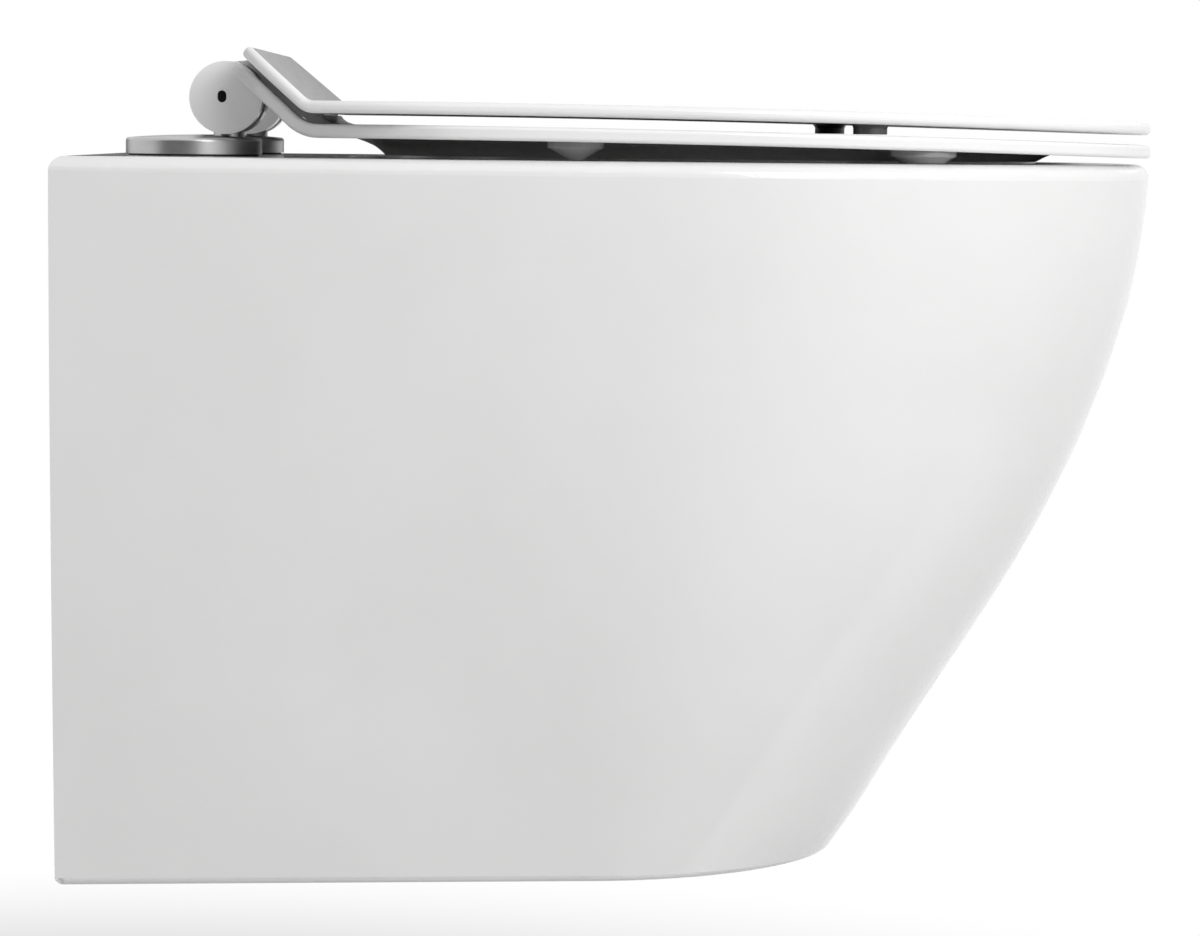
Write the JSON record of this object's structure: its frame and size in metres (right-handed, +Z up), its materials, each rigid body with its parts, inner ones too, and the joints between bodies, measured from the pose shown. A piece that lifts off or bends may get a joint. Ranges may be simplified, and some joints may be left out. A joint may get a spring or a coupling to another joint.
{
  "type": "wall hung toilet",
  "caption": "Wall hung toilet pan with a slim seat and lid that turn on a round hinge barrel over two metal discs.",
  "frame": {"origin": "midway between the two wall fixing holes, in the plane of the finished wall", "axes": "+Z up, +Y into the wall, -Y out to the front of the pan, +X to the right of someone who faces the pan"},
  "size_m": [0.36, 0.5, 0.3737],
  "materials": {
    "glazed_ceramic": "polished",
    "seat_plastic": "gloss",
    "polished_metal": "polished",
    "satin_metal": "satin",
    "steel": "satin",
    "brass": "satin",
    "black_rubber": "matte",
    "clear_rubber": "satin",
    "moulded_plastic": "matte"
  },
  "bodies": {
    "pan": {"pan": "glazed_ceramic", "wall_fixing_bushes": "moulded_plastic", "inlet_seal": "black_rubber", "flush_diffuser": "moulded_plastic", "disc_gasket_left": "black_rubber", "hinge_disc_left": "polished_metal", "hinge_foot_left": "steel", "hinge_post_left": "steel", "hinge_core_left": "satin_metal", "hinge_pin_left": "steel", "seat_bolt_left": "steel", "expansion_sleeve_left": "black_rubber", "clamp_nut_left": "brass", "disc_gasket_right": "black_rubber", "hinge_disc_right": "polished_metal", "hinge_foot_right": "steel", "hinge_post_right": "steel", "hinge_core_right": "satin_metal", "hinge_pin_right": "steel", "seat_bolt_right": "steel", "expansion_sleeve_right": "black_rubber", "clamp_nut_right": "brass"},
    "seat": {"seat": "seat_plastic", "seat_bumpers": "clear_rubber", "seat_damper_left": "moulded_plastic", "seat_damper_right": "moulded_plastic"},
    "lid": {"lid": "seat_plastic", "lid_bumpers": "clear_rubber", "lid_damper_left": "moulded_plastic", "lid_damper_right": "moulded_plastic"}
  },
  "joints": [
    {"name": "lid_hinge", "type": "hinge", "parent": "pan", "child": "lid", "pos_m": [0, -0.0707, 0.1065], "axis": [-1, 0, 0], "range_deg": [0, 96]},
    {"name": "seat_hinge", "type": "hinge", "parent": "pan", "child": "seat", "pos_m": [0, -0.0707, 0.1065], "axis": [-1, 0, 0], "range_deg": [0, 93.12]}
  ],
  "couplings": [
    {"joint": "seat_hinge", "follows": "lid_hinge", "ratio": 0.97}
  ]
}
